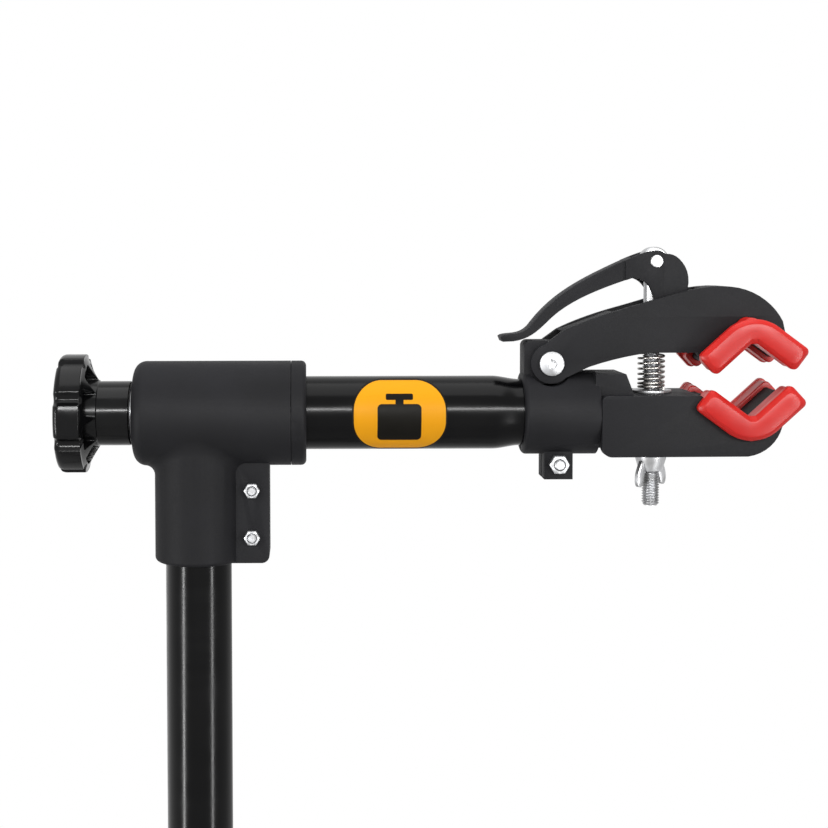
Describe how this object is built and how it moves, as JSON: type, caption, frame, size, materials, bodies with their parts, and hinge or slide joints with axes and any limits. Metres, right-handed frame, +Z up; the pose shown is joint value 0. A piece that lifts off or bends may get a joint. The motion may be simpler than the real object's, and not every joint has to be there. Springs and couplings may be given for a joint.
{
  "type": "bicycle repair stand",
  "caption": "Folding workshop stand: telescoping mast on a cross base, turning arm with a star knob, and a cam-lever clamp with padded jaws for a bicycle tube.",
  "frame": {"origin": "on the floor under the mast's axis, midway between the four feet", "axes": "+Z up along the mast, +X along the arm from the knob to the jaws, +Y away from the side that the picture shows"},
  "size_m": [0.7952, 0.7952, 1.3448],
  "materials": {
    "black_tube_paint": "glossy black powder coat on steel tube",
    "charcoal_casting": "matte charcoal moulded nylon with a fine grain",
    "base_casting": "matte black moulded nylon",
    "bright_steel": "zinc-plated steel, satin",
    "spring_steel": "bright drawn spring wire",
    "red_rubber": "glossy red moulded rubber",
    "black_rubber": "matte black rubber",
    "black_knob_plastic": "glossy black moulded plastic",
    "label_film": "orange printed film, glossy",
    "brass_insert": "machined brass",
    "slide_plastic": "dark acetal"
  },
  "bodies": {
    "base": {"lower_post": "black_tube_paint", "post_plug": "slide_plastic", "leg_hub": "base_casting", "hub_bolt": "bright_steel", "hub_nut": "bright_steel", "leg_bolts": "bright_steel", "leg_nuts": "bright_steel", "post_bushing": "slide_plastic", "height_collar": "base_casting", "collar_bolt": "bright_steel", "collar_nut": "bright_steel"},
    "leg_right_front": {"leg_casting_right_front": "base_casting", "leg_tube_right_front": "black_tube_paint", "leg_foot_right_front": "black_rubber"},
    "leg_right_rear": {"leg_casting_right_rear": "base_casting", "leg_tube_right_rear": "black_tube_paint", "leg_foot_right_rear": "black_rubber"},
    "leg_left_rear": {"leg_casting_left_rear": "base_casting", "leg_tube_left_rear": "black_tube_paint", "leg_foot_left_rear": "black_rubber"},
    "leg_left_front": {"leg_casting_left_front": "base_casting", "leg_tube_left_front": "black_tube_paint", "leg_foot_left_front": "black_rubber"},
    "height_lever": {"height_lever": "base_casting", "height_lever_pin": "bright_steel"},
    "mast": {"mast_tube": "black_tube_paint", "mast_guide": "slide_plastic", "t_head": "charcoal_casting", "t_head_bolts": "bright_steel", "t_head_nuts": "bright_steel"},
    "arm": {"arm_tube": "black_tube_paint", "lock_ring": "charcoal_casting", "arm_plug": "slide_plastic", "arm_stud": "bright_steel", "arm_label": "label_film", "clamp_housing": "charcoal_casting", "lug_bolt": "bright_steel", "lug_nut": "bright_steel", "hinge_bolt": "bright_steel", "hinge_nut": "bright_steel", "lower_jaw": "charcoal_casting", "lower_pad_front": "red_rubber", "lower_pad_rear": "red_rubber", "draw_bolt": "bright_steel", "spring_washer": "bright_steel", "jaw_spring": "spring_steel"},
    "upper_jaw": {"upper_jaw": "charcoal_casting", "upper_pad_front": "red_rubber", "upper_pad_rear": "red_rubber"},
    "cam_lever": {"cam_lever": "charcoal_casting", "lever_pin": "bright_steel"},
    "nut_washer": {"nut_washer": "bright_steel"},
    "wing_nut": {"wing_nut": "bright_steel"},
    "knob_washer": {"knob_washer": "bright_steel"},
    "knob": {"arm_knob": "black_knob_plastic", "knob_insert": "brass_insert"}
  },
  "joints": [
    {"name": "leg_right_front_fold", "type": "hinge", "parent": "base", "child": "leg_right_front", "pos_m": [0.03394, -0.03394, 0.096], "axis": [0, 0, 1], "range_deg": [0, 45]},
    {"name": "leg_right_rear_fold", "type": "hinge", "parent": "base", "child": "leg_right_rear", "pos_m": [0.03394, 0.03394, 0.096], "axis": [0, 0, -1], "range_deg": [0, 45]},
    {"name": "leg_left_rear_fold", "type": "hinge", "parent": "base", "child": "leg_left_rear", "pos_m": [-0.03394, 0.03394, 0.096], "axis": [0, 0, 1], "range_deg": [0, 45]},
    {"name": "leg_left_front_fold", "type": "hinge", "parent": "base", "child": "leg_left_front", "pos_m": [-0.03394, -0.03394, 0.096], "axis": [0, 0, -1], "range_deg": [0, 45]},
    {"name": "height_lever_swing", "type": "hinge", "parent": "base", "child": "height_lever", "pos_m": [0.0355, -0.0186, 0.886], "axis": [0, 0, 1], "range_deg": [0, 140]},
    {"name": "mast_slide", "type": "slide", "parent": "base", "child": "mast", "axis": [0, 0, 1], "range_m": [-0.23, 0.45]},
    {"name": "arm_turn", "type": "hinge", "parent": "mast", "child": "arm", "pos_m": [0, 0, 1.25], "axis": [1, 0, 0], "continuous": true},
    {"name": "knob_turn", "type": "hinge", "parent": "knob_washer", "child": "knob", "pos_m": [-0.06, 0, 1.25], "axis": [-1, 0, 0], "range_deg": [0, 720]},
    {"name": "knob_travel", "type": "slide", "parent": "arm", "child": "knob_washer", "axis": [-1, 0, 0], "range_m": [0, 0.003]},
    {"name": "cam_lever_swing", "type": "hinge", "parent": "arm", "child": "cam_lever", "pos_m": [0.2617, 0, 1.3366], "axis": [0, 1, 0], "range_deg": [0, 130]},
    {"name": "upper_jaw_hinge", "type": "hinge", "parent": "arm", "child": "upper_jaw", "pos_m": [0.2013, 0, 1.2789], "axis": [0, -1, 0], "range_deg": [0, 10.4], "deforming": ["jaw_spring"]},
    {"name": "wing_nut_turn", "type": "hinge", "parent": "nut_washer", "child": "wing_nut", "pos_m": [0.2609, 0, 1.215], "axis": [0, 0, -1], "range_deg": [0, 1440]},
    {"name": "wing_nut_travel", "type": "slide", "parent": "arm", "child": "nut_washer", "axis": [0, 0, -1], "range_m": [0, 0.006]}
  ],
  "couplings": [
    {"joint": "upper_jaw_hinge", "follows": "cam_lever_swing", "ratio": 0.08},
    {"joint": "knob_turn", "follows": "knob_travel", "rad_per_m": 4188.8},
    {"joint": "wing_nut_turn", "follows": "wing_nut_travel", "rad_per_m": 4188.8}
  ]
}
